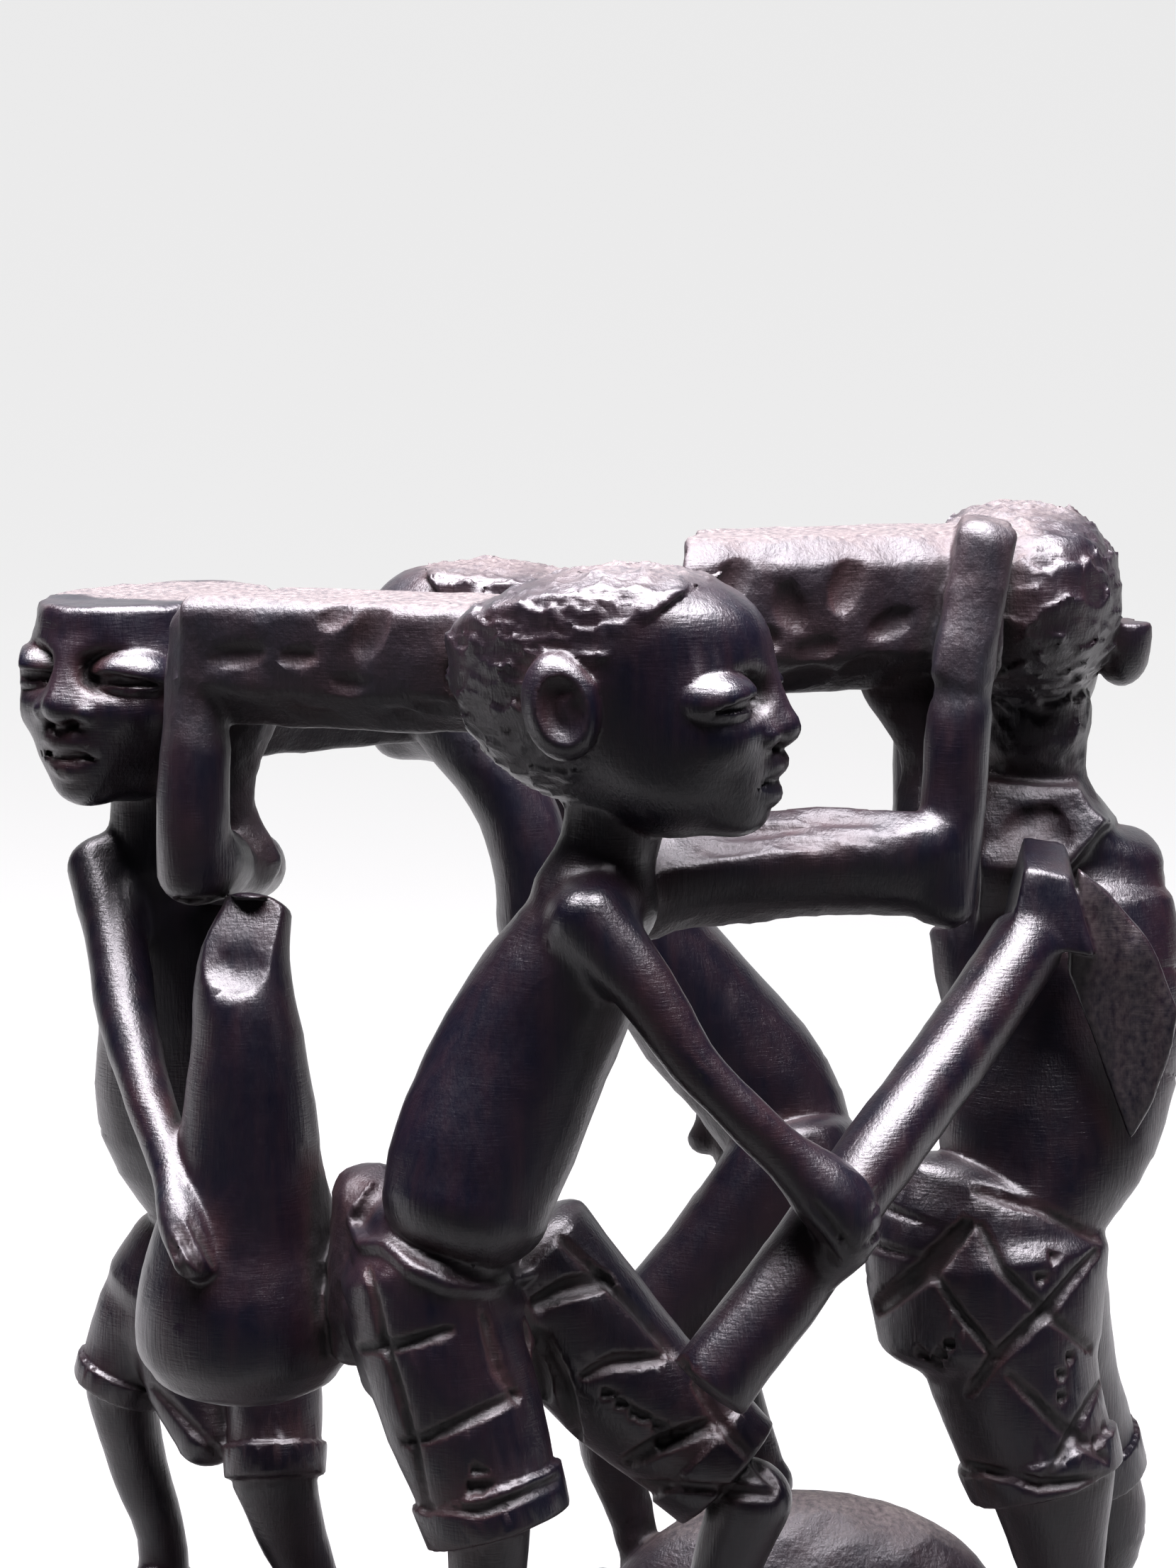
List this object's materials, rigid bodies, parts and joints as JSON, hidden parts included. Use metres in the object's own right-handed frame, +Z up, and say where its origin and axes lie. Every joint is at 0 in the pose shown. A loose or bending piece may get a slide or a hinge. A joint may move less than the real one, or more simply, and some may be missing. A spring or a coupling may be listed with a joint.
{
  "type": "makonde ujamaa carving",
  "caption": "Ring of working figures carved from one block of blackwood, linked by beams from head to head, standing on an oval base; carries nothing, for display.",
  "frame": {"origin": "on the underside of the base, below the middle of the ring", "axes": "+Z up, +X towards the figure that holds the hoe, -Y towards the viewer, +Y to the back figure"},
  "size_m": [0.2612, 0.2214, 0.296],
  "materials": {
    "blackwood": "polished smooth on skin and tools, gouged in hair, recesses and undersides"
  },
  "bodies": {
    "root": {"carving": "blackwood"}
  },
  "joints": []
}
